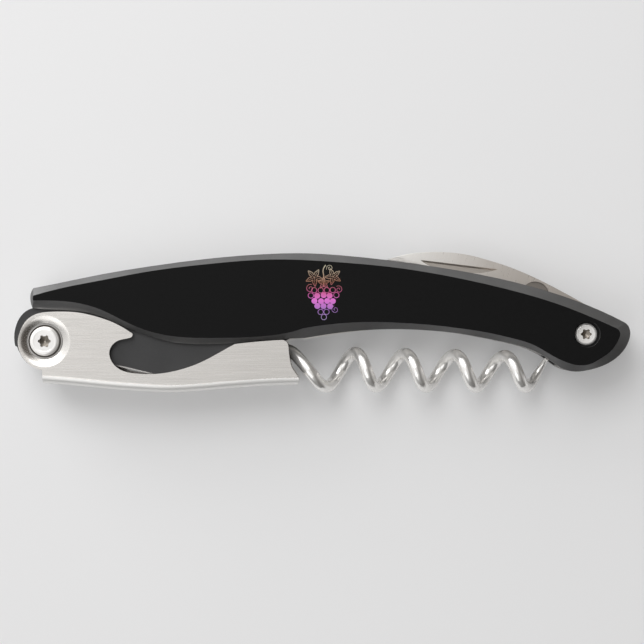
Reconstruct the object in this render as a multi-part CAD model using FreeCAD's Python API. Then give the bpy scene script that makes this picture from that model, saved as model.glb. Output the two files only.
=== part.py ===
import FreeCAD, Part
import math
import os

# Waiter's corkscrew, folded and lying flat. X runs along the handle, Y towards its back edge, Z is its
# thickness. Everything is drawn about the middle plane between the two liners, then set down on z = 0.
# Lengths are in millimetres.

os.makedirs("parts", exist_ok=True)

# Layers of the handle, as heights above the middle plane. The back half mirrors the front half.
GAP_HALF = 1.7
LINER_TOP = 2.7
PLATE_TOP = 4.3
RIM_BASE = 5.2
FACE_TOP = 6.4

# Pivots of the three tools
LEVER_PIVOT = (-55.65, -3.75)
KNIFE_PIVOT = (53.05, -2.35)
WORM_PIVOT = (-21.7, -2.75)

# Lever: a channel bent from sheet, straddling the handle
LEVER_SHEET = 1.2
LEVER_OUTER = 5.75
LEVER_BEND = 1.7
CHANNEL_CLEAR = (0.0, -63.0, 6.0)
LEVER_HOLE = 3.66
DISH_CLEARANCE = 1.0
LIP_HOLLOW = 17.0
LIP_DEPTH = 1.0

# Dish stamped round the lever's pivot hole: (radius, depth), fading out
DISH_PROFILE = [(3.66, 0.56), (3.95, 0.41), (4.4, 0.19), (4.8, 0.06), (5.2, 0.0)]

# Lever pivot hardware
BUSH_RADIUS = 3.48
BUSH_TOP = 4.95
BUSH_SEAT_RADIUS = 3.28
BUSH_SEAT = 4.3
LEVER_BARREL = 2.0
LEVER_BARREL_END = 4.2
LEVER_BORE = 1.5
LEVER_SHANK = 1.45
LEVER_SHANK_END = -2.8
LEVER_HEAD_RADIUS = 2.93
LEVER_HEAD_HEIGHT = 1.45

# Knife pivot hardware
KNIFE_HOLE = 1.8
KNIFE_BARREL = 1.75
KNIFE_BARREL_END = 3.5
KNIFE_BORE = 1.25
KNIFE_SHANK = 1.2
KNIFE_SHANK_END = -2.4
KNIFE_HEAD_RADIUS = 2.23
KNIFE_HEAD_HEIGHT = 1.35
KNIFE_SEAT_RADIUS = 2.66
KNIFE_SEAT = 3.6

# Shoulder of a pivot screw's head: (share of its radius, drop below its flat top)
HEAD_SHOULDER = [(0.7, 0.0), (0.92, 0.1), (1.0, 0.34)]

# Drive sockets of the pivot screws, and the wall left between a barrel's bore and its socket
LEVER_SOCKET = 1.3
KNIFE_SOCKET = 1.1
SOCKET_DEPTH = 0.7
BORE_STOP = 0.45

# Pins pressed through spacer, spring and liners into blind holes in the covers
PIN_RADIUS = 0.9
PIN_END = 3.6
PIN_FIT = 0.02

# Washers beside the three tools: outer radii, and the play left at each face
WORM_WASHER = 3.6
KNIFE_WASHER = 4.0
LEVER_WASHER = 5.0
SIDE_PLAY = 0.03

SPACER_PINS = [(-46.0, -2.6), (-34.0, 2.4), (-21.7, 6.6), (3.6, 7.6)]
SPRING_PINS = [(5.4, 0.1), (20.9, 0.4)]

# Worm: round wire, an eye on the pin, a straight shank, then the open thread
WIRE = 1.25
EYE_RADIUS = 2.6
EYE_TURN = 265
WORM_PIN = 1.25
NECK = [
    (-12.5, -5.35, 0.0),
    (-10.0, -5.35, 0.0),
    (-6.5, -5.8, 0.6),
    (-4.8, -7.1, 1.9),
    (-3.45, -8.65, 2.9),
    (-1.8, -10.7, 3.1),
    (-0.4, -12.4, 1.9),
]
COIL_START = -1.14
COIL_PITCH = 10.12
COIL_RADIUS = (3.5, 3.05)
COIL_AXIS = (-9.5, -10.06)
COIL_LEAN = 0.36
COIL_FIRST_ANGLE = 180
COIL_END_ANGLE = 4 * 360 + 335
COIL_STEPS = 36
TAPER_STEPS = 3
TIP_TUCK = 0.6
TIP_RADIUS = 0.4
STRAIGHT = 1e-6

# Knife
BLADE_HALF = 0.9
SPINE_CHAMFER = 0.12
GRIND_HALF = 0.65
SCOOP_HALF = 0.35
EDGE_HALF = 0.12
EDGE_WIDTH = 3.8
TANG_RADIUS = 5.4
SCALLOP_COUNT = 14
SCALLOP_RADIUS = 0.85
NICK_DEPTH = 0.45
NICK_WALL = 0.35

# Raised pad of the handle. Each row is a point of its foot, then the matching point of its flat face.
PAD_TOP = [
    (-57.9, 6.9, -57.7, 5.4),
    (-51.9, 8.1, -51.6, 7.0),
    (-44.6, 9.6, -44.4, 8.4),
    (-35.0, 11.2, -34.8, 10.2),
    (-22.9, 12.8, -22.8, 11.7),
    (-10.9, 13.75, -10.8, 12.6),
    (-3.6, 13.9, -3.6, 12.5),
    (3.6, 13.5, 3.5, 12.05),
    (15.7, 12.2, 15.4, 10.9),
    (27.8, 10.35, 27.4, 8.85),
    (39.8, 7.8, 39.2, 6.1),
    (49.5, 4.9, 48.7, 3.15),
    (56.7, 2.0, 55.8, 0.25),
    (60.75, 0.0, 59.0, -1.2),
]
PAD_LOWER = [
    (60.75, 0.0, 59.0, -1.2),
    (61.5, -0.75, 59.5, -1.7),
    (61.85, -1.9, 59.65, -2.4),
    (61.65, -3.4, 59.3, -3.5),
    (60.2, -6.0, 57.9, -5.6),
    (57.2, -8.3, 55.9, -7.1),
    (53.2, -9.6, 52.9, -8.5),
    (50.9, -9.85, 50.9, -8.5),
    (48.9, -9.5, 49.6, -8.2),
    (45.8, -7.5, 46.4, -6.8),
    (42.2, -5.5, 42.7, -4.65),
    (37.4, -4.1, 37.7, -3.05),
    (32.6, -3.1, 32.8, -1.95),
    (27.8, -2.25, 27.9, -1.2),
    (22.9, -1.7, 23.0, -0.6),
    (18.1, -1.4, 18.1, -0.2),
    (10.9, -1.4, 10.8, 0.1),
    (6.0, -1.75, 5.9, 0.0),
    (1.2, -2.35, 0.9, -0.45),
    (-3.4, -3.1, -3.7, -1.15),
]
PAD_STEP = [
    (-3.4, -3.1, -3.7, -1.15),
    (-7.0, -3.25, -7.3, -2.15),
    (-11.0, -3.5, -11.2, -2.7),
    (-14.5, -3.8, -14.7, -2.95),
    (-18.0, -4.15, -18.0, -3.05),
    (-22.5, -4.35, -22.4, -3.1),
    (-29.6, -4.0, -29.4, -2.8),
    (-35.6, -2.4, -35.2, -1.55),
    (-39.8, -0.8, -39.3, 0.15),
    (-44.6, 1.3, -44.2, 2.55),
    (-49.7, 2.35, -49.4, 4.0),
    (-54.7, 2.6, -54.4, 4.4),
    (-58.1, 2.9, -57.7, 4.4),
]
PAD_NOSE = [
    (-58.1, 2.9, -57.7, 4.4),
    (-58.5, 4.4, -57.85, 4.7),
    (-58.5, 5.5, -57.85, 5.1),
    (-57.9, 6.9, -57.7, 5.4),
]

# Lower edge of the plate under the pad: down round the belly, and the ear
PLATE_BELLY = [
    (-3.4, -3.1),
    (-7.4, -3.7),
    (-9.5, -5.5),
    (-11.9, -8.2),
    (-16.5, -10.3),
    (-24.5, -11.1),
    (-33.8, -10.25),
    (-42.2, -8.4),
    (-47.7, -8.3),
    (-52.7, -9.3),
    (-56.5, -9.4),
    (-59.5, -7.7),
    (-61.3, -4.9),
]
PLATE_EAR = [(-61.7, -4.7), (-61.9, -3.1), (-61.6, -0.85), (-60.3, 1.6), (-58.1, 2.9)]
LINER_PROUD = 0.3
PROUD_FROM = 12.0
PROUD_FULL = 2.0

# Side of the lever, from the foot of its round end over the hook, round the bottle notch to the lip
LEVER_ROUND = [
    (-56.1, -9.5),
    (-57.8, -9.0),
    (-59.3, -7.85),
    (-60.6, -5.75),
    (-60.95, -3.75),
    (-60.6, -2.1),
    (-58.95, 0.7),
    (-57.1, 1.75),
    (-55.1, 2.1),
    (-52.5, 2.2),
    (-48.9, 2.0),
    (-45.6, 1.3),
    (-42.2, 0.15),
    (-38.5, -1.9),
]
LEVER_HOOK = [(-38.5, -1.9), (-37.95, -2.4), (-38.3, -3.0)]
LEVER_NOTCH = [
    (-38.3, -3.0),
    (-39.6, -3.3),
    (-40.9, -3.65),
    (-42.0, -4.5),
    (-42.6, -5.75),
    (-42.5, -7.0),
    (-41.25, -8.9),
    (-39.9, -9.7),
    (-37.5, -10.2),
    (-34.5, -10.35),
    (-31.4, -10.1),
    (-28.4, -9.45),
    (-25.4, -8.45),
    (-22.4, -7.05),
    (-20.0, -5.7),
    (-17.4, -4.3),
]
LEVER_SHOULDER = [(-17.4, -4.3), (-11.3, -3.7), (-8.0, -3.5)]
LEVER_CORNER = [(-8.0, -3.5), (-7.2, -3.8), (-6.8, -4.5)]
LEVER_LIP = [
    (-6.8, -4.5),
    (-6.6, -6.2),
    (-6.4, -7.7),
    (-6.0, -9.1),
    (-5.3, -10.2),
    (-4.7, -11.2),
    (-4.5, -12.55),
]
LEVER_BOTTOM = [
    (-4.5, -12.55),
    (-12.5, -12.8),
    (-19.2, -13.3),
    (-26.0, -13.85),
    (-31.0, -14.05),
    (-35.0, -13.9),
    (-42.3, -13.4),
    (-49.5, -12.7),
    (-56.0, -12.2),
]

# Spacer between the liners, on the back edge and in the belly left of the worm
SPACER_TOP = [
    (-57.6, 6.4),
    (-44.6, 9.2),
    (-35.0, 10.9),
    (-22.9, 12.5),
    (-10.9, 13.4),
    (-3.6, 13.55),
    (7.6, 12.75),
]
SPACER_BELLY = [(-25.9, -10.7), (-33.8, -9.95), (-42.2, -8.1), (-47.7, -8.0), (-54.65, -9.65)]
SPACER_EAR_RADIUS = 6.0
POCKET_RADIUS = 4.15

# Back spring under the knife
SPRING_TOP = [(1.8, 1.5), (13.0, 2.2), (20.9, 2.0), (30.0, 0.6), (40.0, -1.8), (47.7, -4.4)]
SPRING_UNDER = [
    (48.5, -5.75),
    (46.6, -7.4),
    (42.2, -5.2),
    (37.4, -3.8),
    (32.6, -2.8),
    (22.9, -1.4),
    (10.9, -1.1),
    (1.8, -1.9),
]

# Round bite out of liners and spring that the worm's tip rests in
TIP_REST = (46.0, -7.9)
TIP_REST_RADIUS = 1.7

# Knife blade, folded
BLADE_SPINE = [
    (52.3, 4.3),
    (48.1, 6.6),
    (44.4, 8.5),
    (37.1, 11.6),
    (33.4, 12.75),
    (29.7, 13.7),
    (26.1, 14.2),
    (22.4, 14.35),
    (18.7, 14.1),
    (14.5, 13.2),
    (10.8, 11.5),
]
BLADE_EDGE = [(10.8, 11.5), (15.8, 9.2), (23.9, 6.2), (36.1, 2.1), (46.4, -1.1)]
SERRATED_FROM = (24.5, 6.0)
SERRATED_TO = (43.5, -0.2)
GRIND_END = 42.3
GRIND_REACH = 60.0
SCOOP_CENTRE = (43.2, 5.4)
SCOOP_RADIUS = 2.9
NICK_LINE = [(20.0, 12.7), (35.6, 10.8)]
NICK_CURVE = [(35.6, 10.8), (31.2, 10.0), (25.0, 10.75), (21.4, 11.7), (20.0, 12.7)]
NICK_SLOPE_WIDTH = 2.6

ORIGIN = FreeCAD.Vector(0, 0, 0)
UP = FreeCAD.Vector(0, 0, 1)


def vector(point, z=0.0):
    return FreeCAD.Vector(point[0], point[1], z)


def curve(points, z, parameters=None):
    """A straight edge for two points, a smooth one for more."""
    vectors = [vector(point, z) for point in points]
    if len(vectors) == 2:
        return Part.makeLine(vectors[0], vectors[1])
    spline = Part.BSplineCurve()
    if parameters:
        spline.interpolate(Points=vectors, Parameters=parameters)
    else:
        spline.interpolate(vectors)
    return spline.toShape()


def slab(runs, low, high):
    """A plate between two heights; each run of its outline starts where the last one ends."""
    wire = Part.Wire([curve(run, low) for run in runs])
    return Part.Face(wire).extrude(UP * (high - low))


def both_ways(runs, half):
    """A plate of this outline, centred on the middle plane."""
    return slab(runs, -half, half)


def cylinder(centre, radius, low, high):
    return Part.makeCylinder(radius, high - low, vector(centre, low), UP)


def ring(centre, inner, outer, low, high):
    return cylinder(centre, outer, low, high).cut(cylinder(centre, inner, low, high))


def mirrored(shape):
    """The same piece on the other side of the middle plane."""
    return shape.mirror(ORIGIN, UP)


def foot_points(rows):
    return [(row[0], row[1]) for row in rows]


def face_points(rows):
    return [(row[2], row[3]) for row in rows]


def spacing(points):
    """How far along the run each point lies, so that foot and face curves match point by point."""
    distances = [0.0]
    for before, after in zip(points, points[1:]):
        distances.append(distances[-1] + math.dist(before, after))
    return distances


def pad():
    """The raised part of a cover: upright at its foot, then a rim that slopes in to the flat face."""
    low_edges = []
    foot_edges = []
    face_edges = []
    for rows in (PAD_TOP, PAD_LOWER, PAD_STEP, PAD_NOSE):
        parameters = spacing(foot_points(rows))
        low_edges.append(curve(foot_points(rows), PLATE_TOP, parameters))
        foot_edges.append(curve(foot_points(rows), RIM_BASE, parameters))
        face_edges.append(curve(face_points(rows), FACE_TOP, parameters))
    upright_foot = Part.Face(Part.Wire(low_edges)).extrude(UP * (RIM_BASE - PLATE_TOP))
    rim = Part.makeLoft([Part.Wire(foot_edges), Part.Wire(face_edges)], True, True)
    return upright_foot.fuse(rim)


def lowered(points, proud):
    """The points moved down by the liner's proud edge, which fades in left of PROUD_FROM."""
    moved = []
    for x, y in points:
        share = min(1.0, max(0.0, (PROUD_FROM - x) / (PROUD_FROM - PROUD_FULL)))
        moved.append((x, y - proud * share))
    return moved


def plate_runs(proud):
    """Outline shared by cover plate and liner; the liner stands a little proud of the cover below."""
    return [
        foot_points(PAD_TOP),
        lowered(foot_points(PAD_LOWER), proud),
        lowered(PLATE_BELLY[:-1], proud) + [PLATE_BELLY[-1]],
        [PLATE_BELLY[-1], PLATE_EAR[0]],
        PLATE_EAR,
        foot_points(PAD_NOSE),
    ]


def cut_pin_holes(shape, pins, low, high):
    for pin in pins:
        shape = shape.cut(cylinder(pin, PIN_RADIUS + PIN_FIT, low, high))
    return shape


def cover():
    plate = slab(plate_runs(0.0), LINER_TOP, PLATE_TOP)
    shape = plate.fuse(pad()).removeSplitter()
    shape = shape.cut(cylinder(LEVER_PIVOT, BUSH_RADIUS + PIN_FIT, LINER_TOP, FACE_TOP))
    shape = shape.cut(cylinder(KNIFE_PIVOT, KNIFE_HOLE, LINER_TOP, FACE_TOP))
    shape = shape.cut(cylinder(KNIFE_PIVOT, KNIFE_SEAT_RADIUS, KNIFE_SEAT, FACE_TOP))
    shape = shape.cut(cylinder(WORM_PIVOT, WORM_PIN + PIN_FIT, LINER_TOP, PIN_END))
    return cut_pin_holes(shape, SPACER_PINS + SPRING_PINS, LINER_TOP, PIN_END)


def liner():
    shape = slab(plate_runs(LINER_PROUD), GAP_HALF, LINER_TOP)
    shape = shape.cut(cylinder(LEVER_PIVOT, BUSH_RADIUS + PIN_FIT, GAP_HALF, LINER_TOP))
    shape = shape.cut(cylinder(TIP_REST, TIP_REST_RADIUS, GAP_HALF, LINER_TOP))
    shape = shape.cut(cylinder(KNIFE_PIVOT, KNIFE_HOLE, GAP_HALF, LINER_TOP))
    shape = shape.cut(cylinder(WORM_PIVOT, WORM_PIN + PIN_FIT, GAP_HALF, LINER_TOP))
    return cut_pin_holes(shape, SPACER_PINS + SPRING_PINS, GAP_HALF, LINER_TOP)


def around(centre, radius, degrees):
    """The point on a circle at this angle."""
    angle = math.radians(degrees)
    return (centre[0] + radius * math.cos(angle), centre[1] + radius * math.sin(angle))


def arc(centre, radius, start, end, z):
    """The edge on a circle from one angle to another, in degrees."""
    points = [around(centre, radius, degrees) for degrees in (start, (start + end) / 2, end)]
    return Part.Arc(*[vector(point, z) for point in points]).toShape()


def closed_slab(edges, height):
    return Part.Face(Part.Wire(edges)).extrude(UP * height)


def spine_spacer():
    """Fills the back of the handle from the ear to the knife tip, leaving a pocket for the worm's eye."""
    low = -GAP_HALF
    ear_start = around(LEVER_PIVOT, SPACER_EAR_RADIUS, -80)
    ear_end = around(LEVER_PIVOT, SPACER_EAR_RADIUS, -260)
    pocket_start = around(WORM_PIVOT, POCKET_RADIUS, 8)
    pocket_end = around(WORM_PIVOT, POCKET_RADIUS, 180)
    corners = [SPACER_TOP[-1], (7.0, 2.6), (0.8, 2.0), (0.8, -2.4), (-4.0, -3.0), pocket_start]
    edges = [curve(SPACER_TOP, low)]
    edges += [curve(pair, low) for pair in zip(corners, corners[1:])]
    edges.append(arc(WORM_PIVOT, POCKET_RADIUS, 8, 180, low))
    edges.append(curve([pocket_end, SPACER_BELLY[0]], low))
    edges.append(curve(SPACER_BELLY[:-1] + [ear_start], low))
    edges.append(arc(LEVER_PIVOT, SPACER_EAR_RADIUS, -80, -260, low))
    edges.append(curve([ear_end, (-57.8, 4.4)], low))
    edges.append(curve([(-57.8, 4.4), SPACER_TOP[0]], low))
    shape = closed_slab(edges, 2 * GAP_HALF)
    shape = shape.cut(cylinder(LEVER_PIVOT, BUSH_RADIUS + PIN_FIT, -GAP_HALF, GAP_HALF))
    return cut_pin_holes(shape, SPACER_PINS, -GAP_HALF, GAP_HALF)


def backspring():
    ends = [[SPRING_TOP[-1], SPRING_UNDER[0]], [SPRING_UNDER[-1], SPRING_TOP[0]]]
    shape = both_ways([SPRING_TOP, ends[0], SPRING_UNDER[:2], SPRING_UNDER[1:], ends[1]], GAP_HALF)
    shape = shape.cut(cylinder(TIP_REST, TIP_REST_RADIUS, -GAP_HALF, GAP_HALF))
    return cut_pin_holes(shape, SPRING_PINS, -GAP_HALF, GAP_HALF)


def pins(places):
    return Part.makeCompound([cylinder(place, PIN_RADIUS, -PIN_END, PIN_END) for place in places])


def lever():
    """The boot lever: both sides and the web that joins them along the bottom."""
    runs = [
        LEVER_ROUND,
        LEVER_HOOK,
        LEVER_NOTCH,
        LEVER_SHOULDER,
        LEVER_CORNER,
        LEVER_LIP,
        LEVER_BOTTOM,
        [LEVER_BOTTOM[-1], LEVER_ROUND[0]],
    ]
    shape = both_ways(runs, LEVER_OUTER)
    shape = shape.makeFillet(LEVER_BEND, bottom_edges(shape, LEVER_OUTER, 0.0))
    inside = LEVER_OUTER - LEVER_SHEET
    right, left, above = CHANNEL_CLEAR
    floor = [(x, y + LEVER_SHEET) for x, y in LEVER_BOTTOM]
    floor = [(right, floor[0][1])] + floor + [(left, floor[-1][1] + LEVER_SHEET / 2)]
    corners = [floor[-1], (left, above), (right, above), floor[0]]
    channel = both_ways([floor] + [list(pair) for pair in zip(corners, corners[1:])], inside)
    channel = channel.makeFillet(LEVER_BEND - LEVER_SHEET, bottom_edges(channel, inside, LEVER_SHEET))
    shape = shape.cut(channel)
    shape = shape.cut(cylinder(LEVER_PIVOT, LEVER_HOLE, -LEVER_OUTER, LEVER_OUTER))
    dish = lever_dish()
    shape = shape.cut(dish).cut(mirrored(dish))
    lip_x = LEVER_LIP[-1][0] - LIP_DEPTH + LIP_HOLLOW
    hollow = Part.makeCylinder(LIP_HOLLOW, 4.0, FreeCAD.Vector(lip_x, -14.5, 0), FreeCAD.Vector(0, 1, 0))
    return shape.cut(hollow)


def lever_dish():
    """Cutter for the soft dish round the pivot hole, above the lever's front side."""
    profile = [FreeCAD.Vector(radius, 0, LEVER_OUTER - depth) for radius, depth in DISH_PROFILE]
    slope = Part.BSplineCurve()
    slope.interpolate(Points=profile, FinalTangent=FreeCAD.Vector(1, 0, 0))
    top = LEVER_OUTER + DISH_CLEARANCE
    corners = [profile[-1], FreeCAD.Vector(profile[-1].x, 0, top), FreeCAD.Vector(0, 0, top)]
    corners += [FreeCAD.Vector(0, 0, profile[0].z), profile[0]]
    edges = [slope.toShape()] + [Part.makeLine(a, b) for a, b in zip(corners, corners[1:])]
    return Part.Face(Part.Wire(edges)).revolve(ORIGIN, UP, 360).translate(vector(LEVER_PIVOT))


def bottom_edges(shape, half, lift):
    """The two long edges along the bottom curve, at the outer and inner sides of the lever's web."""
    deepest = min(y for x, y in LEVER_BOTTOM) + lift
    found = []
    for edge in shape.Edges:
        box = edge.BoundBox
        if box.XLength > 40 and box.YMin < deepest + 0.1 and abs(abs(edge.CenterOfMass.z) - half) < 0.01:
            found.append(edge)
    return found


def socket(centre, radius, top):
    """Six-lobe socket: a round core with six round lobes and a drilled, pointed bottom."""
    low = top - SOCKET_DEPTH
    core = cylinder(centre, 0.78 * radius, low, top)
    for step in range(6):
        place = around(centre, 0.76 * radius, 60 * step)
        core = core.fuse(cylinder(place, 0.24 * radius, low, top))
    point = Part.makeCone(0, 0.78 * radius, 0.4 * radius, vector(centre, low - 0.4 * radius), UP)
    return core.fuse(point)


def button_head(centre, radius, seat, height):
    """A low domed head: upright at its rim, round at its shoulder and flat on top."""
    top = seat + height

    shoulder = [FreeCAD.Vector(share * radius, 0, top - drop) for share, drop in HEAD_SHOULDER]
    corners = [(0.0, top), (0.0, seat), (radius, seat)]
    outline = [shoulder[0]] + [FreeCAD.Vector(x, 0, z) for x, z in corners] + [shoulder[-1]]
    edges = [Part.makeLine(a, b) for a, b in zip(outline, outline[1:])]
    edges.append(Part.Arc(*reversed(shoulder)).toShape())
    return Part.Face(Part.Wire(edges)).revolve(ORIGIN, UP, 360).translate(vector(centre))


def screw(centre, head, top, shank_radius, shank_end, socket_radius):
    """A head on a round shank, with the drive socket sunk into its top."""
    shank = cylinder(centre, shank_radius, shank_end, top - SOCKET_DEPTH)
    return head.fuse(shank).cut(socket(centre, socket_radius, top))


def lever_bush():
    shape = cylinder(LEVER_PIVOT, BUSH_RADIUS, -BUSH_TOP, BUSH_TOP)
    shape = shape.cut(cylinder(LEVER_PIVOT, LEVER_BARREL + PIN_FIT, -BUSH_TOP, BUSH_TOP))
    seat = cylinder(LEVER_PIVOT, BUSH_SEAT_RADIUS, BUSH_SEAT, BUSH_TOP)
    return shape.cut(seat).cut(mirrored(seat))


def lever_screw():
    head = button_head(LEVER_PIVOT, LEVER_HEAD_RADIUS, BUSH_SEAT, LEVER_HEAD_HEIGHT)
    top = BUSH_SEAT + LEVER_HEAD_HEIGHT
    return screw(LEVER_PIVOT, head, top, LEVER_SHANK, LEVER_SHANK_END, LEVER_SOCKET)


def lever_barrel_nut():
    head = button_head(LEVER_PIVOT, LEVER_HEAD_RADIUS, BUSH_SEAT, LEVER_HEAD_HEIGHT)
    top = BUSH_SEAT + LEVER_HEAD_HEIGHT
    nut = screw(LEVER_PIVOT, head, top, LEVER_BARREL, -LEVER_BARREL_END, LEVER_SOCKET)
    bore = cylinder(LEVER_PIVOT, LEVER_BORE, -LEVER_BARREL_END, BUSH_SEAT - BORE_STOP)
    return mirrored(nut.cut(bore))


def knife_screw():
    head = button_head(KNIFE_PIVOT, KNIFE_HEAD_RADIUS, KNIFE_SEAT, KNIFE_HEAD_HEIGHT)
    top = KNIFE_SEAT + KNIFE_HEAD_HEIGHT
    return screw(KNIFE_PIVOT, head, top, KNIFE_SHANK, KNIFE_SHANK_END, KNIFE_SOCKET)


def knife_barrel_nut():
    head = button_head(KNIFE_PIVOT, KNIFE_HEAD_RADIUS, KNIFE_SEAT, KNIFE_HEAD_HEIGHT)
    top = KNIFE_SEAT + KNIFE_HEAD_HEIGHT
    nut = screw(KNIFE_PIVOT, head, top, KNIFE_BARREL, -KNIFE_BARREL_END, KNIFE_SOCKET)
    bore = cylinder(KNIFE_PIVOT, KNIFE_BORE, -KNIFE_BARREL_END, KNIFE_SEAT - BORE_STOP)
    return mirrored(nut.cut(bore))


def coil_point(degrees):
    """Centre of the wire in the thread; 0 degrees is the top of a turn, 90 is its front."""
    along = (degrees - 90) / (COIL_END_ANGLE - 90)
    radius = COIL_RADIUS[0] + along * (COIL_RADIUS[1] - COIL_RADIUS[0])
    axis = COIL_AXIS[0] + along * (COIL_AXIS[1] - COIL_AXIS[0])
    angle = math.radians(degrees)
    x = COIL_START + COIL_PITCH * (degrees - 90) / 360 + COIL_LEAN * math.cos(angle)
    return FreeCAD.Vector(x, axis + radius * math.cos(angle), radius * math.sin(angle))


def thread_points():
    """Centre line of the wire from the end of the shank to the tip, which is tucked back a little."""
    span = COIL_END_ANGLE - COIL_FIRST_ANGLE
    points = [FreeCAD.Vector(*place) for place in NECK]
    for step in range(COIL_STEPS + 1):
        points.append(coil_point(COIL_FIRST_ANGLE + span * step / COIL_STEPS))
    points[-1].x -= TIP_TUCK
    points[-2].x -= TIP_TUCK / 3
    return points


def meeting_point(start, leaving, end, arriving):
    """Where two equal-handed arcs meet, one leaving the start in line, one arriving in line at the end."""
    reach = end - start
    both = leaving + arriving
    spread = 2 * (1 - leaving.dot(arriving))
    pull = 2 * reach.dot(both)
    if spread < STRAIGHT:
        length = reach.dot(reach) / pull
    else:
        length = (math.sqrt(pull * pull + 4 * reach.dot(reach) * spread) - pull) / (2 * spread)
    return (start + leaving * length + end - arriving * length) * 0.5


def arc_wire(start, leaving, end):
    """Round wire along the arc that leaves the start in line and reaches the end, and its last direction."""
    section = Part.Face(Part.Wire(Part.makeCircle(WIRE, start, leaving)))
    reach = end - start
    axis = leaving.cross(reach)
    if axis.Length < STRAIGHT * reach.Length:
        return section.extrude(reach), leaving
    axis.normalize()
    inward = axis.cross(leaving)
    radius = reach.dot(reach) / (2 * reach.dot(inward))
    turn = math.degrees(2 * math.asin(reach.Length / (2 * radius)))
    arriving = FreeCAD.Rotation(axis, turn).multVec(leaving)
    return section.revolve(start + inward * radius, axis, turn), arriving


def thread_wire(thread, points):
    """Round wire through the points, as pairs of arcs that run smoothly into each other."""
    pieces = []
    for start, end in zip(points, points[1:]):
        leaving = thread.tangent(thread.parameter(start))[0]
        arriving = thread.tangent(thread.parameter(end))[0]
        middle = meeting_point(start, leaving, end, arriving)
        first, onward = arc_wire(start, leaving, middle)
        pieces += [first, arc_wire(middle, onward, end)[0]]
    return pieces


def tapered_tip(edge):
    """The last of the wire, tapering evenly."""
    pipe = Part.BRepOffsetAPI.MakePipeShell(Part.Wire(edge))
    pipe.setFrenetMode(True)
    for parameter, radius in ((edge.FirstParameter, WIRE), (edge.LastParameter, TIP_RADIUS)):
        circle = Part.makeCircle(radius, edge.valueAt(parameter), edge.tangentAt(parameter))
        pipe.add(Part.Wire(circle))
    pipe.build()
    pipe.makeSolid()
    return pipe.shape()


def worm():
    """The screw: a bent eye, a straight shank, the open thread and its tapered tip."""
    centre = vector(WORM_PIVOT)
    eye_bottom = centre - FreeCAD.Vector(0, EYE_RADIUS, 0)
    along = FreeCAD.Vector(1, 0, 0)
    section = Part.Face(Part.Wire(Part.makeCircle(WIRE, eye_bottom, along)))
    eye = section.revolve(centre, UP, -EYE_TURN)
    shank = section.extrude(along * (NECK[0][0] - WORM_PIVOT[0]))
    points = thread_points()
    thread = Part.BSplineCurve()
    leaving_shank = [True] + [False] * (len(points) - 1)
    thread.interpolate(Points=points, Tangents=[along] * len(points), TangentFlags=leaving_shank)
    body = thread_wire(thread, points[:-TAPER_STEPS])
    taper_start = thread.parameter(points[-1 - TAPER_STEPS])
    tip = tapered_tip(thread.toShape(taper_start, thread.LastParameter))
    return eye.fuse([shank] + body + [tip])


def worm_pin():
    return cylinder(WORM_PIVOT, WORM_PIN, -PIN_END, PIN_END)


def worm_washer():
    return ring(WORM_PIVOT, WORM_PIN + PIN_FIT, WORM_WASHER, WIRE + SIDE_PLAY, GAP_HALF)


def knife_washer():
    return ring(KNIFE_PIVOT, KNIFE_BARREL + PIN_FIT, KNIFE_WASHER, BLADE_HALF + SIDE_PLAY, GAP_HALF)


def lever_washer():
    top = LEVER_OUTER - LEVER_SHEET - SIDE_PLAY
    return ring(LEVER_PIVOT, BUSH_RADIUS + PIN_FIT, LEVER_WASHER, PLATE_TOP, top)


def upright(start, end, low_start, low_end):
    """A block across the blade, from one X to another, above a floor that may slope between them."""
    clear = BLADE_HALF + 1.0
    back = -GRIND_REACH / 2
    outline = [(start, low_start), (end, low_end), (end, clear), (start, clear), (start, low_start)]
    corners = [FreeCAD.Vector(x, back, z) for x, z in outline]
    return Part.Face(Part.makePolygon(corners)).extrude(FreeCAD.Vector(0, GRIND_REACH, 0))


def grind_cutter():
    """Takes the front of the blade down from the full tang thickness."""
    return upright(0.0, GRIND_END, GRIND_HALF, GRIND_HALF)


def scoop_cutter():
    """The round-ended scoop where the grinding stops against the tang."""
    start = SCOOP_CENTRE[0] - SCOOP_RADIUS
    end = SCOOP_CENTRE[0] + SCOOP_RADIUS
    wedge = upright(start, end, GRIND_HALF, SCOOP_HALF)
    above = SCOOP_CENTRE[1] + SCOOP_RADIUS
    runs = [(start, SCOOP_CENTRE[1]), (start, -above), (end, -above), (end, SCOOP_CENTRE[1])]
    sides = [curve(pair, 0.0) for pair in zip(runs, runs[1:])]
    round_end = arc(SCOOP_CENTRE, SCOOP_RADIUS, 0, 180, 0.0)
    return wedge.common(closed_slab(sides + [round_end], BLADE_HALF))


def along_line(start, end, profile, extra):
    """A bar whose (distance to the right, height) section follows a line, overrunning both its ends."""
    direction = (vector(end) - vector(start)).normalize()
    side = UP.cross(direction)
    origin = vector(start) - direction * extra
    points = [origin - side * across + UP * height for across, height in profile]
    face = Part.Face(Part.makePolygon(points + [points[0]]))
    return face.extrude(direction * (math.dist(start, end) + 2 * extra))


def edge_cutter():
    """Slopes the front of the blade down to its cutting edge."""
    section = [
        (-3.0, EDGE_HALF),
        (0.0, EDGE_HALF),
        (EDGE_WIDTH, GRIND_HALF),
        (EDGE_WIDTH, 2.0),
        (-3.0, 2.0),
    ]
    return along_line(BLADE_EDGE[-1], BLADE_EDGE[1], section, 8.0)


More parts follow.
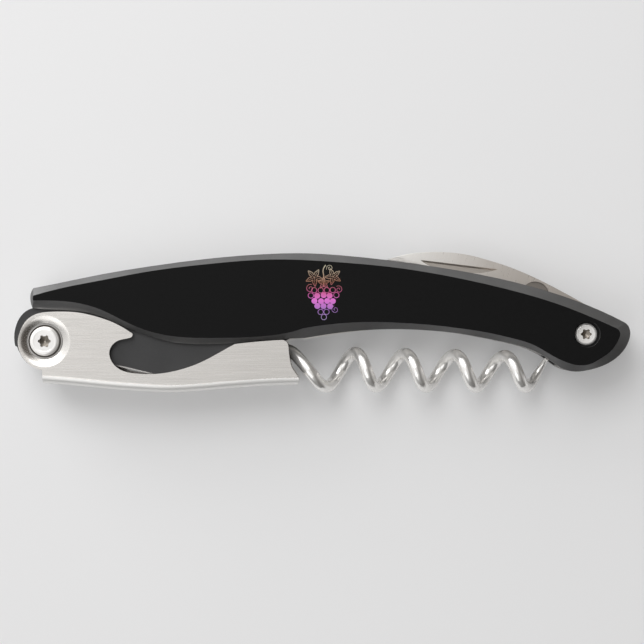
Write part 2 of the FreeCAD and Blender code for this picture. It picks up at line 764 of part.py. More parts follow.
def nail_nick():
    """Crescent for the thumbnail, deepest along the sloping wall below its straight upper edge."""
    low = GRIND_HALF - NICK_DEPTH
    crescent = slab([NICK_LINE, NICK_CURVE], low, GRIND_HALF + 1.0)
    section = [
        (0.0, GRIND_HALF),
        (NICK_WALL, low),
        (NICK_SLOPE_WIDTH, GRIND_HALF),
        (NICK_SLOPE_WIDTH, GRIND_HALF + 1.0),
        (0.0, GRIND_HALF + 1.0),
    ]
    wedge = along_line(NICK_LINE[0], NICK_LINE[1], section, 2.0)
    return crescent.common(wedge)


def serrations():
    """Round bites along the straight part of the cutting edge."""
    bites = []
    for step in range(SCALLOP_COUNT):
        share = (step + 0.5) / SCALLOP_COUNT
        x = SERRATED_FROM[0] + share * (SERRATED_TO[0] - SERRATED_FROM[0])
        y = SERRATED_FROM[1] + share * (SERRATED_TO[1] - SERRATED_FROM[1])
        bites.append(cylinder((x, y - 0.45), SCALLOP_RADIUS, -2.0, 2.0))
    return Part.makeCompound(bites)


def knife_blade():
    low = -BLADE_HALF
    tang_end = around(KNIFE_PIVOT, TANG_RADIUS, -168)
    tang_start = around(KNIFE_PIVOT, TANG_RADIUS, 50)
    spine = curve([tang_start] + BLADE_SPINE, low)
    edges = [
        spine,
        curve(BLADE_EDGE, low),
        curve([BLADE_EDGE[-1], tang_end], low),
        arc(KNIFE_PIVOT, TANG_RADIUS, -168, 50, low),
    ]
    shape = closed_slab(edges, 2 * BLADE_HALF)
    shape = shape.cut(cylinder(KNIFE_PIVOT, KNIFE_HOLE, -BLADE_HALF, BLADE_HALF))
    for cutter in (grind_cutter(), scoop_cutter(), edge_cutter()):
        shape = shape.cut(cutter).cut(mirrored(cutter))
    shape = shape.makeChamfer(SPINE_CHAMFER, long_edges_on(spine, shape))
    return shape.cut(serrations()).cut(nail_nick())


def long_edges_on(outline, shape):
    """The long edges that run along this outline at the front and back of the blade."""
    found = []
    for edge in shape.Edges:
        middle = edge.valueAt((edge.FirstParameter + edge.LastParameter) / 2)
        below = Part.Vertex(middle.x, middle.y, -BLADE_HALF)
        if edge.Length > 10 and abs(middle.z) > EDGE_HALF and below.distToShape(outline)[0] < 0.01:
            found.append(edge)
    return found


def export(name, shape):
    """Sets the piece down so that the back of the handle rests on z = 0."""
    placed = shape.copy()
    placed.translate(FreeCAD.Vector(0, 0, FACE_TOP))
    placed.exportStep("parts/" + name + ".step")


def main():
    front_and_back = {
        "cover": cover(),
        "liner": liner(),
        "lever_washer": lever_washer(),
        "worm_washer": worm_washer(),
        "knife_washer": knife_washer(),
    }
    for name, shape in front_and_back.items():
        export(name + "_front", shape)
        export(name + "_back", mirrored(shape))
    export("spine_spacer", spine_spacer())
    export("backspring", backspring())
    export("spacer_pins", pins(SPACER_PINS))
    export("spring_pins", pins(SPRING_PINS))
    export("lever", lever())
    export("lever_bush", lever_bush())
    export("lever_screw", lever_screw())
    export("lever_barrel_nut", lever_barrel_nut())
    export("worm", worm())
    export("worm_pin", worm_pin())
    export("knife_blade", knife_blade())
    export("knife_screw", knife_screw())
    export("knife_barrel_nut", knife_barrel_nut())


main()
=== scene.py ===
import bpy
import math
import random
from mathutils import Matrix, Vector


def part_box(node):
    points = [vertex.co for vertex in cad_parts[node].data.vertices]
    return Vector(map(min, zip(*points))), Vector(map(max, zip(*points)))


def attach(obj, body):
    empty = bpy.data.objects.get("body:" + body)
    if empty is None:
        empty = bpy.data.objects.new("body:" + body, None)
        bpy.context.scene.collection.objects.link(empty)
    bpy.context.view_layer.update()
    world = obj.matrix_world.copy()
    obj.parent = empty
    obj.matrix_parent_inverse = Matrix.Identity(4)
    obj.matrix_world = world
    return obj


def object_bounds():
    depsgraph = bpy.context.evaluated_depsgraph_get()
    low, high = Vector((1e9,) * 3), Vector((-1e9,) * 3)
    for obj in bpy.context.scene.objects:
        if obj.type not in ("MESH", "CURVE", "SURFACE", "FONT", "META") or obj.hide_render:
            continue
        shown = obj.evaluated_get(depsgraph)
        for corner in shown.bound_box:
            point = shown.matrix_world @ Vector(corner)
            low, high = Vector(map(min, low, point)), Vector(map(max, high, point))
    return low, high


# Looks of the folded waiter's corkscrew, lying on a pale table and seen from straight above.
# Lengths are in metres; MM turns a size in millimetres into metres.

MM = 0.001
random.seed(7)

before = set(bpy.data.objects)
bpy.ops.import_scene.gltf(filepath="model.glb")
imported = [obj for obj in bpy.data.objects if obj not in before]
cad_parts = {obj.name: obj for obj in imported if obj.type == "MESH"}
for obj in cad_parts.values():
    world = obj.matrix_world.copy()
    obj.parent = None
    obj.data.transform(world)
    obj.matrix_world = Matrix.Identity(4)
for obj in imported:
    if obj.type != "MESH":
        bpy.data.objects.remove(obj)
cad_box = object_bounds()

# ---------------------------------------------------------------- helpers for shader nodes

NOISE_MIDDLE = (0.3, 0.7)
SHADE_STOPS = (0.25, 0.75)


def fill_ramp(color_ramp, stops):
    """Sets a ramp's colours; stops are (position, (r, g, b))."""
    elements = color_ramp.elements
    while len(elements) < len(stops):
        elements.new(0.5)
    for element, (position, color) in zip(elements, stops):
        element.position = position
        element.color = (*color, 1)


class Shader:
    """A material with one principled shader, and short calls for the nodes that feed it."""

    def __init__(self, name, color, metallic, roughness, specular=0.5):
        self.material = bpy.data.materials.new(name)
        self.material.use_nodes = True
        self.tree = self.material.node_tree
        self.principled = self.tree.nodes["Principled BSDF"]
        self.principled.inputs["Base Color"].default_value = (*color, 1)
        self.principled.inputs["Metallic"].default_value = metallic
        self.principled.inputs["Roughness"].default_value = roughness
        self.principled.inputs["Specular IOR Level"].default_value = specular

    def node(self, kind, **values):
        made = self.tree.nodes.new(kind)
        for key, value in values.items():
            setattr(made, key, value)
        return made

    def link(self, source, target):
        self.tree.links.new(source, target)

    def place(self):
        """The point on the piece, in its own frame."""
        return self.node("ShaderNodeTexCoord").outputs["Object"]

    def stretched(self, stretch, turn=0.0):
        """Object coordinates turned about Z, then multiplied, so that a texture runs out in streaks."""
        turned = self.node("ShaderNodeMapping")
        turned.inputs["Rotation"].default_value = (0, 0, math.radians(turn))
        scaled = self.node("ShaderNodeMapping")
        scaled.inputs["Scale"].default_value = stretch
        self.link(self.place(), turned.inputs["Vector"])
        self.link(turned.outputs["Vector"], scaled.inputs["Vector"])
        return scaled.outputs["Vector"]

    def noise(self, stretch, detail=3.0, turn=0.0):
        texture = self.node("ShaderNodeTexNoise")
        texture.inputs["Scale"].default_value = 1.0
        texture.inputs["Detail"].default_value = detail
        self.link(self.stretched(stretch, turn), texture.inputs["Vector"])
        return texture.outputs["Fac"]

    def mapped(self, value, low, high):
        """The middle of a noise spread over low to high."""
        spread = self.node("ShaderNodeMapRange")
        spread.inputs["From Min"].default_value = NOISE_MIDDLE[0]
        spread.inputs["From Max"].default_value = NOISE_MIDDLE[1]
        spread.inputs["To Min"].default_value = low
        spread.inputs["To Max"].default_value = high
        self.link(value, spread.inputs["Value"])
        return spread.outputs["Result"]

    def ramp(self, value, stops):
        """Colours along a value."""
        colors = self.node("ShaderNodeValToRGB")
        fill_ramp(colors.color_ramp, stops)
        self.link(value, colors.inputs["Fac"])
        return colors.outputs["Color"]

    def color(self, socket):
        self.link(socket, self.principled.inputs["Base Color"])

    def roughness(self, value, low, high):
        self.link(self.mapped(value, low, high), self.principled.inputs["Roughness"])

    def bump(self, value, depth):
        raised = self.node("ShaderNodeBump")
        raised.inputs["Strength"].default_value = 1.0
        raised.inputs["Distance"].default_value = depth
        self.link(value, raised.inputs["Height"])
        self.link(raised.outputs["Normal"], self.principled.inputs["Normal"])


def shades(color, low, high):
    """Two stops of the same colour, darker and lighter."""
    return [(stop, tuple(share * part for part in color)) for stop, share in zip(SHADE_STOPS, (low, high))]


# ---------------------------------------------------------------- materials


def black_face():
    """Matt black print on the flat of the handle."""
    color = (0.0045, 0.0045, 0.0046)
    shader = Shader("black face", color, 0.0, 0.55, specular=0.1)
    grain = shader.noise((1400, 1400, 1400))
    shader.color(shader.ramp(grain, shades(color, 0.8, 1.25)))
    shader.roughness(grain, 0.48, 0.62)
    shader.bump(grain, 0.006 * MM)
    return shader.material


def grey_plate():
    """Dark grey of the handle's ear and belly."""
    return dark_grey("grey plate", (0.042, 0.042, 0.043), 0.4)


def painted_sheen_rim():
    """The sloping rim: a lighter, more metallic copy of the plate's grey that paints the sheen its slope
    catches.
    """
    return dark_grey("grey rim with painted sheen", (0.165, 0.165, 0.165), 0.8)


def dark_grey(name, color, metallic):
    """Anodised grey with a fine grain."""
    shader = Shader(name, color, metallic, 0.42, specular=0.45)
    clouds = shader.noise((160, 160, 160), detail=4.0)
    grain = shader.noise((2200, 2200, 2200), detail=2.0)
    shader.color(shader.ramp(clouds, shades(color, 0.88, 1.14)))
    shader.roughness(grain, 0.36, 0.52)
    shader.bump(grain, 0.012 * MM)
    return shader.material


def brushed(name, color, stretch, turn, rough, depth=0.004, contrast=(0.9, 1.07)):
    """Metal with fine straight brush lines."""
    shader = Shader(name, color, 1.0, rough[0])
    lines = shader.noise(stretch, detail=5.0, turn=turn)
    clouds = shader.noise((90, 90, 90), detail=3.0)
    both = shader.node("ShaderNodeMath", operation="MULTIPLY_ADD")
    both.inputs[1].default_value = 0.8
    shader.link(lines, both.inputs[0])
    shader.link(shader.mapped(clouds, 0.02, 0.18), both.inputs[2])
    shader.color(shader.ramp(both.outputs["Value"], shades(color, *contrast)))
    shader.roughness(lines, *rough)
    shader.bump(lines, depth * MM)
    return shader.material


def lever_steel():
    color = (0.80, 0.775, 0.745)
    return brushed("lever steel", color, (90, 6000, 6000), 0, (0.22, 0.3), 0.0006, (0.97, 1.02))


def painted_highlight_edge():
    """The lever's rounded edges and fold: a lighter, partly metallic copy of its steel that paints a
    highlight along them.
    """
    color = (0.93, 0.92, 0.90)
    shader = Shader("lever edge with painted highlight", color, 0.4, 0.32)
    wear = shader.noise((60, 4000, 4000), detail=2.0)
    shader.color(shader.ramp(wear, shades(color, 0.99, 1.01)))
    shader.roughness(wear, 0.3, 0.34)
    return shader.material


GRIND_ANGLE = 17
BLADE_SHADED_X = 48 * MM
BLADE_LIT_X = 16 * MM


def blade_steel():
    """Satin blade with painted shade: its colour runs from dark at the tang to light towards its tip."""
    shader = Shader("blade steel with painted shade", (0.7, 0.66, 0.62), 1.0, 0.3)
    split = shader.node("ShaderNodeSeparateXYZ")
    shader.link(shader.place(), split.inputs["Vector"])
    lines = shader.noise((4400, 160, 4400), detail=5.0, turn=GRIND_ANGLE)
    # Painted shade along X, darker at the tang than at the tip.
    along = shader.node("ShaderNodeMapRange")
    along.inputs["From Min"].default_value = BLADE_SHADED_X
    along.inputs["From Max"].default_value = BLADE_LIT_X
    shader.link(split.outputs["X"], along.inputs["Value"])
    both = shader.node("ShaderNodeMath", operation="MULTIPLY_ADD")
    both.inputs[1].default_value = 0.12
    shader.link(lines, both.inputs[0])
    shader.link(along.outputs["Result"], both.inputs[2])
    stops = [(0.06, (0.52, 0.475, 0.435)), (0.5, (0.64, 0.6, 0.56)), (1.06, (0.93, 0.91, 0.88))]
    shader.color(shader.ramp(both.outputs["Value"], stops))
    shader.roughness(lines, 0.26, 0.4)
    shader.bump(lines, 0.0015 * MM)
    return shader.material


def shaded_grind_steel():
    # Dark colour: painted shade in the nick and the scoop.
    color = (0.30, 0.275, 0.25)
    return brushed("grind steel with painted shade", color, (2600, 240, 2600), GRIND_ANGLE, (0.4, 0.55), depth=0.008)


def liner_steel():
    return brushed("liner steel", (0.74, 0.72, 0.70), (90, 90, 5200), 0, (0.2, 0.36))


def spring_steel():
    return brushed("spring steel", (0.52, 0.50, 0.48), (80, 80, 4200), 0, (0.26, 0.4))


def bush_steel():
    return brushed("bush steel", (0.42, 0.405, 0.39), (900, 900, 5200), 0, (0.26, 0.4))


def washer_steel():
    return brushed("washer steel", (0.5, 0.49, 0.48), (2400, 2400, 900), 0, (0.3, 0.45))


def worm_chrome():
    """Polished plating with the faint lines left by drawing the wire."""
    color = (0.98, 0.965, 0.94)
    shader = Shader("worm chrome", color, 0.7, 0.2)
    lines = shader.noise((240, 1500, 1500), detail=3.0)
    shader.color(shader.ramp(lines, shades(color, 0.95, 1.02)))
    shader.roughness(lines, 0.16, 0.26)
    shader.bump(lines, 0.004 * MM)
    return shader.material


def screw_steel(name, centre):
    """Turned steel: rings round the screw's own centre."""
    color = (0.97, 0.955, 0.935)
    shader = Shader(name, color, 0.4, 0.15)
    offset = shader.node("ShaderNodeMapping")
    offset.inputs["Location"].default_value = (-centre.x, -centre.y, 0)
    shader.link(shader.place(), offset.inputs["Vector"])
    rings = shader.node("ShaderNodeTexWave", wave_type="RINGS", rings_direction="Z")
    rings.inputs["Scale"].default_value = 1100
    rings.inputs["Distortion"].default_value = 0.6
    shader.link(offset.outputs["Vector"], rings.inputs["Vector"])
    shader.color(shader.ramp(rings.outputs["Fac"], shades(color, 0.94, 1.03)))
    shader.roughness(rings.outputs["Fac"], 0.12, 0.24)
    shader.bump(rings.outputs["Fac"], 0.006 * MM)
    return shader.material


def shaded_socket_steel():
    # A dark copy of the steel that paints the shade inside drive sockets.
    return brushed("socket steel with painted shade", (0.30, 0.27, 0.235), (2000, 2000, 2000), 0, (0.35, 0.5))


def shaded_seat_steel():
    # A dark copy of the steel that paints the shade on the bush's sunk faces.
    return brushed("seat steel with painted shade", (0.12, 0.11, 0.10), (2000, 2000, 2000), 0, (0.35, 0.5))


def spacer_plastic():
    color = (0.02, 0.02, 0.021)
    shader = Shader("spacer plastic", color, 0.0, 0.5)
    grain = shader.noise((1500, 1500, 1500))
    shader.color(shader.ramp(grain, shades(color, 0.85, 1.2)))
    shader.roughness(grain, 0.42, 0.6)
    shader.bump(grain, 0.012 * MM)
    return shader.material


def print_ink(low_y, high_y):
    """Ink that runs from violet at the bottom of the print, through pink, to gold at its top."""
    shader = Shader("print ink", (0.8, 0.2, 0.5), 0.0, 0.4)
    split = shader.node("ShaderNodeSeparateXYZ")
    shader.link(shader.place(), split.inputs["Vector"])
    height = shader.node("ShaderNodeMapRange")
    height.inputs["From Min"].default_value = low_y
    height.inputs["From Max"].default_value = high_y
    shader.link(split.outputs["Y"], height.inputs["Value"])
    wobble = shader.noise((900, 900, 900))
    mixed = shader.node("ShaderNodeMath", operation="MULTIPLY_ADD")
    mixed.inputs[1].default_value = 0.08
    shader.link(wobble, mixed.inputs[0])
    shader.link(height.outputs["Result"], mixed.inputs[2])
    stops = [
        (0.04, (0.36, 0.30, 0.52)),
        (0.24, (0.36, 0.15, 0.52)),
        (0.42, (0.72, 0.16, 0.62)),
        (0.56, (0.60, 0.09, 0.28)),
        (0.72, (0.36, 0.13, 0.07)),
        (1.0, (0.50, 0.46, 0.34)),
    ]
    shader.color(shader.ramp(mixed.outputs["Value"], stops))
    shader.roughness(wobble, 0.35, 0.5)
    return shader.material


FLOOR_GLOW = 0.16


def floor_white():
    """Pale table top whose faint glow stands in for light bounced back under the tool."""
    color = (0.65, 0.65, 0.655)
    shader = Shader("floor white", color, 0.0, 0.7, specular=0.2)
    clouds = shader.noise((9, 9, 9), detail=2.0)
    shader.color(shader.ramp(clouds, shades(color, 0.985, 1.01)))
    shader.principled.inputs["Emission Color"].default_value = (1, 1, 1, 1)
    shader.principled.inputs["Emission Strength"].default_value = FLOOR_GLOW
    return shader.material


# ---------------------------------------------------------------- CAD nodes


def centre_of(node):
    low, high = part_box(node)
    return (low + high) / 2


EDGE_SEGMENTS = 2
EDGE_ANGLE = math.radians(32)


def dress(node, material, bevel=0.0):
    """Gives a CAD node its material, smooth shading and, where a width is given, rounded edges."""
    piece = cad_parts[node]
    piece.data.materials.clear()
    piece.data.materials.append(material)
    for polygon in piece.data.polygons:
        polygon.use_smooth = True
    if bevel:
        rounding = piece.modifiers.new("edge rounding", "BEVEL")
        rounding.width = bevel
        rounding.segments = EDGE_SEGMENTS
        rounding.limit_method = "ANGLE"
        rounding.angle_limit = EDGE_ANGLE
        rounding.harden_normals = False
    return piece


SLOPING = (0.3, 0.97)
FACE_TOLERANCE = 0.01 * MM


def coat_cover(cover, face_height, black, rim):
    """Gives a cover's flat outer face its black coat and its sloping rim the lighter grey with painted
    sheen.
    """
    mesh = cover.data
    mesh.materials.append(black)
    mesh.materials.append(rim)
    for polygon in mesh.polygons:
        if abs(polygon.center.z - face_height) < FACE_TOLERANCE:
            polygon.material_index = 1
        elif SLOPING[0] < abs(polygon.normal.z) < SLOPING[1]:
            polygon.material_index = 2


def dress_handle():
    plate = grey_plate()
    black = black_face()
    # The rim's lighter grey is painted sheen on the same cover.
    rim = painted_sheen_rim()
    coat_cover(dress("cover_front", plate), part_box("cover_front")[1].z, black, rim)
    coat_cover(dress("cover_back", plate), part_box("cover_back")[0].z, black, rim)
    steel = liner_steel()
    for side in ("front", "back"):
        dress("liner_" + side, steel)
    dress("spine_spacer", spacer_plastic())
    dress("backspring", spring_steel())


SUNK = 0.05 * MM
SOCKET_DEPTH = 1.3 * MM
LEVER_SOCKET_REACH = 1.35 * MM
KNIFE_SOCKET_REACH = 1.15 * MM


def darken_socket(piece, face_height, reach):
    """Painted shade inside a screw's drive socket, below the flat of its head: a dark copy of the steel.
    """
    centre = centre_of(piece.name)
    mesh = piece.data
    mesh.materials.append(shaded_socket_steel())
    for polygon in mesh.polygons:
        across = math.hypot(polygon.center.x - centre.x, polygon.center.y - centre.y)
        sunk = abs(polygon.center.z - face_height)
        if across < reach and SUNK < sunk < SOCKET_DEPTH:
            polygon.material_index = 1


def darken_seat(bush):
    """Painted shade on the bush everywhere but on its two end rings: a dark copy of its steel."""
    low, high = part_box("lever_bush")
    mesh = bush.data
    mesh.materials.append(shaded_seat_steel())
    for polygon in mesh.polygons:
        if low.z + SUNK < polygon.center.z < high.z - SUNK:
            polygon.material_index = 1


def dress_pivots():
    washer = washer_steel()
    for tool in ("lever", "worm", "knife"):
        for side in ("front", "back"):
            dress(f"{tool}_washer_{side}", washer)
    lever_turned = screw_steel("lever screw steel", centre_of("lever_screw"))
    knife_turned = screw_steel("knife screw steel", centre_of("knife_screw"))
    for node, turned, face_height, reach in (
        ("lever_screw", lever_turned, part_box("lever_screw")[1].z, LEVER_SOCKET_REACH),
        ("lever_barrel_nut", lever_turned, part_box("lever_barrel_nut")[0].z, LEVER_SOCKET_REACH),
        ("knife_screw", knife_turned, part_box("knife_screw")[1].z, KNIFE_SOCKET_REACH),
        ("knife_barrel_nut", knife_turned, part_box("knife_barrel_nut")[0].z, KNIFE_SOCKET_REACH),
    ):
        darken_socket(dress(node, turned), face_height, reach)
    darken_seat(dress("lever_bush", bush_steel()))
    pin = spring_steel()
    for node in ("worm_pin", "spacer_pins", "spring_pins"):
        dress(node, pin)


FLAT_ENOUGH = 0.9
NICK_TILT = 0.12
SCOOP_TILT = 0.03


def shade_grinds(blade):
    """Rougher steel with painted shade, a darker colour, in the nail nick and in the scoop beside the
    tang.
    """
    mesh = blade.data
    mesh.materials.append(shaded_grind_steel())
    for polygon in mesh.polygons:
        normal = polygon.normal
        if abs(normal.z) > FLAT_ENOUGH and (normal.y > NICK_TILT or normal.x * abs(normal.z) > SCOOP_TILT):
            polygon.material_index = 1


LEVER_EDGE = 0.16 * MM
FOLD_TILT = 0.15
DISH_REACH = 6.0 * MM


def dress_lever():
    """Brushed lever, with a painted highlight along its rounded edges and along the fold at its lower
    side.
    """
    lever = dress("lever", lever_steel(), bevel=LEVER_EDGE)
    lever.data.materials.append(painted_highlight_edge())
    # The bevel faces get the painted highlight.
    lever.modifiers["edge rounding"].material = 1
    pivot = centre_of("lever_screw")
    for polygon in lever.data.polygons:
        away = math.hypot(polygon.center.x - pivot.x, polygon.center.y - pivot.y)
        # Fold faces turned down the page, away from the screw's dish, get the painted highlight too.
        rounded = polygon.normal.y < -FOLD_TILT and abs(polygon.normal.z) > FOLD_TILT
        if rounded and away > DISH_REACH:
            polygon.material_index = 1


def dress_tools():
    dress_lever()
    dress("worm", worm_chrome())
    shade_grinds(dress("knife_blade", blade_steel()))


# ---------------------------------------------------------------- printed grape cluster

PRINT_HEIGHT = 11.4 * MM
PRINT_CENTRE = (0.35 * MM, 5.9 * MM)
INK_THICKNESS = 0.02 * MM
LINE_WIDTH = 0.11 * MM
VEIN_WIDTH = 0.6 * LINE_WIDTH
TENDRIL_WIDTH = 0.8 * LINE_WIDTH
STALK_WIDTH = 1.6 * LINE_WIDTH
OUTLINE_STEPS = 10
DISC_STEPS = 24


def print_point(x, y):
    """A point of the print, from millimetres about its middle to the row frame."""
    return Vector((PRINT_CENTRE[0] + x * MM, PRINT_CENTRE[1] + y * MM, cad_box[1].z))


def ink_line(points, name, closed=False, width=LINE_WIDTH):
    """A flat drawn line through the points."""
    curve = bpy.data.curves.new(name, "CURVE")
    curve.dimensions = "3D"
    curve.resolution_u = 6
    curve.bevel_depth = width / 2
    curve.bevel_resolution = 1
    spline = curve.splines.new("NURBS")
    spline.points.add(len(points) - 1)
    for target, (x, y) in zip(spline.points, points):
        target.co = (*print_point(x, y), 1)
    spline.order_u = 3
    spline.use_endpoint_u = not closed
    spline.use_cyclic_u = closed
    return bpy.data.objects.new(name, curve)


def circle_points(x, y, radius, count):
    angles = [2 * math.pi * step / count for step in range(count)]
    return [(x + radius * math.cos(angle), y + radius * math.sin(angle)) for angle in angles]


def ink_disc(x, y, radius, name):
    """A filled round of ink, a little above the middle of the lines."""
    rise = Vector((0, 0, LINE_WIDTH / 4))
    rim = [print_point(*point) + rise for point in circle_points(x, y, radius, DISC_STEPS)]
    mesh = bpy.data.meshes.new(name)
    mesh.from_pydata(rim, [], [list(range(len(rim)))])
    return bpy.data.objects.new(name, mesh)


# Sizes and places within the print, in millimetres about its middle.
GRAPE_ROWS = (4, 5, 4, 3, 2, 1)
GRAPE_PITCH = 1.25
ROW_PITCH = 1.08
TOP_ROW = 0.6
GRAPE_SHIFT = 0.08
GRAPE_RADIUS = 0.56
FILL_RADIUS = 0.58
FILLED_ROWS = (1, 3)
FILLED_HALF = 2.0


def grape_rows():
    """Middles of the grapes in a bunch that narrows downwards, and which of them are filled."""
    grapes = []
    for row, count in enumerate(GRAPE_ROWS):
        for place in range(count):
            x = GRAPE_PITCH * (place - (count - 1) / 2) + random.uniform(-GRAPE_SHIFT, GRAPE_SHIFT)
            y = TOP_ROW - ROW_PITCH * row + random.uniform(-GRAPE_SHIFT, GRAPE_SHIFT)
            grapes.append((x, y, FILLED_ROWS[0] <= row <= FILLED_ROWS[1] and abs(x) < FILLED_HALF))
    return grapes


LEAF_STEPS = 30
LEAF_LOBES = 5
LEAF_BODY = 0.62
LOBE_DEPTH = 0.3
TOOTH_DEPTH = 0.1
VEIN_REACH = 0.75
# Middle, size and turn in radians of each leaf.
LEAVES = ((-1.9, 3.1, 1.9, 2.3), (1.9, 3.3, 1.8, 0.7), (0.0, 2.0, 1.3, 1.6))


def leaf_points(x, y, size, turn):
    """Outline of a lobed vine leaf about its stalk."""
    points = []
    for step in range(LEAF_STEPS):
        angle = 2 * math.pi * step / LEAF_STEPS
        lobes = LOBE_DEPTH * math.cos(LEAF_LOBES * angle)
        teeth = TOOTH_DEPTH * math.cos(3 * LEAF_LOBES * angle)
        radius = size * (LEAF_BODY + lobes + teeth)
        points.append((x + radius * math.cos(angle + turn), y + radius * math.sin(angle + turn)))
    return points


STALK = ((0, 1.2), (0.1, 3.2), (-0.3, 4.8), (0.4, 5.6))
# Middle, size, starting turn in radians and direction of each curl.
TENDRILS = (
    (-2.7, 0.9, 0.9, 1.2, 1),
    (3.0, 0.7, 0.8, 2.2, -1),
    (1.2, 5.0, 0.7, 3.6, -1),
    (2.3, -3.3, 0.8, 1.9, 1),
)
TENDRIL_STEPS = 17
TENDRIL_TURNS = 1.4
TENDRIL_SHRINK = 0.8


def tendril_points(x, y, size, turn, direction):
    """A curl that winds in on itself."""
    points = []
    for step in range(TENDRIL_STEPS + 1):
        share = step / TENDRIL_STEPS
        angle = turn + direction * 2 * math.pi * TENDRIL_TURNS * share
        radius = size * (1 - TENDRIL_SHRINK * share)
        points.append((x + radius * math.cos(angle), y + radius * math.sin(angle)))
    return points


def make_print():
    drawn = []
    for x, y, filled in grape_rows():
        ring = circle_points(x, y, GRAPE_RADIUS, OUTLINE_STEPS)
        drawn.append(ink_line(ring, "grape outline", closed=True))
        if filled:
            drawn.append(ink_disc(x, y, FILL_RADIUS, "grape fill"))
    for x, y, size, turn in LEAVES:
        drawn.append(ink_line(leaf_points(x, y, size, turn), "leaf outline", closed=True))
        for vein in range(LEAF_LOBES):
            angle = turn + 2 * math.pi * vein / LEAF_LOBES
            tip = (x + VEIN_REACH * size * math.cos(angle), y + VEIN_REACH * size * math.sin(angle))
            drawn.append(ink_line([(x, y), tip], "leaf vein", width=VEIN_WIDTH))
    drawn.append(ink_line(STALK, "stalk", width=STALK_WIDTH))
    for curl in TENDRILS:
        drawn.append(ink_line(tendril_points(*curl), "tendril", width=TENDRIL_WIDTH))
    piece = joined(drawn, "face_print")
    flatten(piece, cad_box[1].z, INK_THICKNESS)
    low_y = PRINT_CENTRE[1] - PRINT_HEIGHT / 2
    piece.data.materials.append(print_ink(low_y, low_y + PRINT_HEIGHT))
    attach(piece, "handle")


def joined(objects, name):
    """One mesh object made of the final meshes of several."""
    vertices = []
    faces = []
    for thing in objects:
        bpy.context.scene.collection.objects.link(thing)
    bpy.context.view_layer.update()
    graph = bpy.context.evaluated_depsgraph_get()
    for thing in objects:
        mesh = bpy.data.meshes.new_from_object(thing.evaluated_get(graph))
        start = len(vertices)
        vertices += [vertex.co.copy() for vertex in mesh.vertices]
        faces += [[start + corner for corner in polygon.vertices] for polygon in mesh.polygons]
    for thing in objects:
        bpy.data.objects.remove(thing)
    mesh = bpy.data.meshes.new(name)
    mesh.from_pydata(vertices, [], faces)
    piece = bpy.data.objects.new(name, mesh)
    bpy.context.scene.collection.objects.link(piece)
    return piece


def flatten(piece, height, thickness):
    """Squeezes the drawing into a layer of this thickness on the face."""
    heights = [vertex.co.z for vertex in piece.data.vertices]
    middle = (min(heights) + max(heights)) / 2
    span = max(heights) - min(heights)
    for vertex in piece.data.vertices:
        vertex.co.z = height + (vertex.co.z - middle) / span * thickness


# ---------------------------------------------------------------- table, light and camera

FLOOR_SIZE = 6.0


def make_floor():
    bpy.ops.mesh.primitive_plane_add(size=FLOOR_SIZE, location=(0, 0, 0))
    floor = bpy.context.object
    floor.name = "floor"
    floor.data.materials.append(floor_white())


# Name, place, size in metres and power in watts of each lamp.
LAMPS = (
    ("low light", (-0.38, 0.42, 0.16), 0.34, 1.2),
    ("key light", (-0.14, 0.28, 0.46), 0.30, 1.0),
    ("fill light", (-0.18, -0.26, 0.42), 0.34, 0.33),
)


def softbox(name, location, size, power):
    """A square white light that faces the tool."""
    light = bpy.data.lights.new(name, "AREA")
    light.size = size
    light.energy = power
    lamp = bpy.data.objects.new(name, light)
    lamp.location = location
    lamp.rotation_mode = "QUATERNION"
    lamp.rotation_quaternion = (-Vector(location)).to_track_quat("-Z", "Y")
    bpy.context.scene.collection.objects.link(lamp)


SKY_STRENGTH = 1.75
BACKDROP = (0.42, 0.42, 0.42, 1)

# Shades of the surroundings by the Z, X and Y parts of the direction, multiplied together.
SKY_BY_HEIGHT = [
    (0.0, (0.58, 0.58, 0.58)),
    (0.4, (0.68, 0.68, 0.68)),
    (1.0, (0.68, 0.68, 0.68)),
]
SKY_BY_SIDE = [
    (0.36, (1.0, 1.0, 1.0)),
    (0.45, (0.76, 0.755, 0.75)),
    (0.49, (0.65, 0.645, 0.637)),
    (0.61, (0.65, 0.64, 0.625)),
    (0.72, (0.08, 0.07, 0.06)),
    (0.90, (0.08, 0.07, 0.06)),
    (0.97, (0.5, 0.49, 0.48)),
]
SKY_BY_DEPTH = [
    (0.0, (0.06, 0.06, 0.06)),
    (0.15, (0.3, 0.3, 0.3)),
    (0.35, (0.6, 0.6, 0.6)),
    (0.5, (0.74, 0.74, 0.74)),
    (0.65, (0.9, 0.9, 0.9)),
    (1.0, (1.0, 1.0, 1.0)),
]


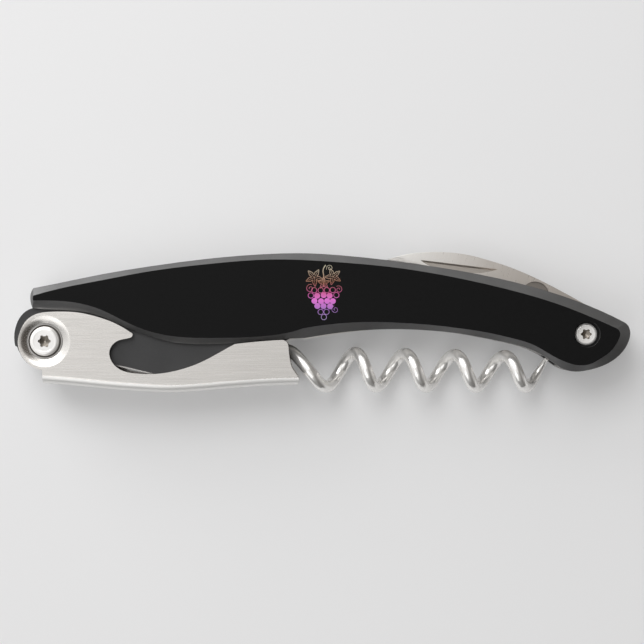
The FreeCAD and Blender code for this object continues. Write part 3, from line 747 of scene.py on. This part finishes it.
def make_surroundings():
    """A studio that lights and reflects by direction, seen itself only as a plain pale backdrop."""
    world = bpy.data.worlds.new("studio")
    bpy.context.scene.world = world
    world.use_nodes = True
    nodes = world.node_tree.nodes
    links = world.node_tree.links
    direction = nodes.new("ShaderNodeTexCoord")
    split = nodes.new("ShaderNodeSeparateXYZ")
    links.new(direction.outputs["Generated"], split.inputs["Vector"])
    background = nodes["Background"]
    background.inputs["Strength"].default_value = SKY_STRENGTH
    shade = world_ramp(world, split.outputs["Z"], 0.0, SKY_BY_HEIGHT)
    for axis, stops in (("X", SKY_BY_SIDE), ("Y", SKY_BY_DEPTH)):
        product = nodes.new("ShaderNodeMix")
        product.data_type = "RGBA"
        product.blend_type = "MULTIPLY"
        product.inputs["Factor"].default_value = 1.0
        links.new(shade, product.inputs["A"])
        links.new(world_ramp(world, split.outputs[axis], -1.0, stops), product.inputs["B"])
        shade = product.outputs["Result"]
    seen = nodes.new("ShaderNodeMix")
    seen.data_type = "RGBA"
    links.new(nodes.new("ShaderNodeLightPath").outputs["Is Camera Ray"], seen.inputs["Factor"])
    links.new(shade, seen.inputs["A"])
    seen.inputs["B"].default_value = BACKDROP
    links.new(seen.outputs["Result"], background.inputs["Color"])


def world_ramp(world, value, start, stops):
    """Shades of the surroundings along one part of the direction, from this start up to 1."""
    nodes = world.node_tree.nodes
    links = world.node_tree.links
    share = nodes.new("ShaderNodeMapRange")
    share.inputs["From Min"].default_value = start
    links.new(value, share.inputs["Value"])
    ramp = nodes.new("ShaderNodeValToRGB")
    fill_ramp(ramp.color_ramp, stops)
    links.new(share.outputs["Result"], ramp.inputs["Fac"])
    return ramp.outputs["Color"]


CAMERA_HEIGHT = 400 * MM
CAMERA_Y = 0.1 * MM
CAMERA_LENS = 110.0
SENSOR_WIDTH = 36.0


def make_camera():
    """Straight above the middle of the tool, with the handle's back edge at the top."""
    middle = (cad_box[0] + cad_box[1]) / 2
    data = bpy.data.cameras.new("camera")
    data.lens = CAMERA_LENS
    data.sensor_width = SENSOR_WIDTH
    data.clip_start = 10 * MM
    camera = bpy.data.objects.new("camera", data)
    camera.location = (0, CAMERA_Y, middle.z + CAMERA_HEIGHT)
    bpy.context.scene.collection.objects.link(camera)
    bpy.context.scene.camera = camera


# ---------------------------------------------------------------- the scene

make_camera()
make_surroundings()
for lamp in LAMPS:
    softbox(*lamp)
make_floor()
dress_handle()
dress_pivots()
dress_tools()
make_print()
bpy.context.scene.view_settings.view_transform = "Standard"
